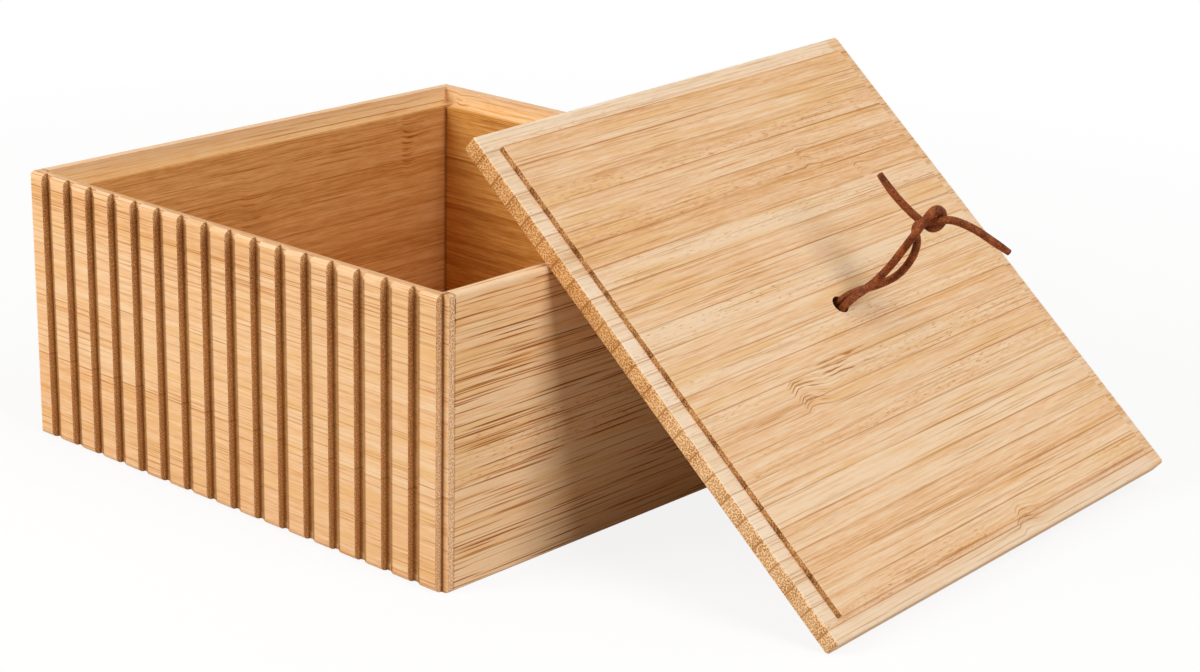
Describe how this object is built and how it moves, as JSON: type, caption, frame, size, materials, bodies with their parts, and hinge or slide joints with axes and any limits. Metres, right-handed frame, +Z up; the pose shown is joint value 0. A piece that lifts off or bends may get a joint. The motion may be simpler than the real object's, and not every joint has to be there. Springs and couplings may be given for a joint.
{
  "type": "bamboo storage box",
  "caption": "Low square bamboo box with a vertically fluted front and a loose drop-in lid, leaning on the rim, with a knotted leather lace as its pull.",
  "frame": {"origin": "on the floor under the middle of the box's base", "axes": "+Z up, -Y out of the fluted front, +X towards the side that the lid leans on"},
  "size_m": [0.2962, 0.2285, 0.1272],
  "materials": {
    "bamboo": "smooth matte, laminated strips",
    "lace": "matte, mottled"
  },
  "bodies": {
    "box": {"front_panel": "bamboo", "back_panel": "bamboo", "left_side": "bamboo", "right_side": "bamboo", "base_panel": "bamboo"},
    "lid": {"lid_board": "bamboo", "lace_front": "lace", "lace_rear": "lace", "lace_stopper": "lace"}
  },
  "joints": [
    {"name": "lid_lift", "type": "slide", "parent": "box", "child": "lid", "axis": [0, 0, 1], "range_m": [0, 0.15]}
  ]
}
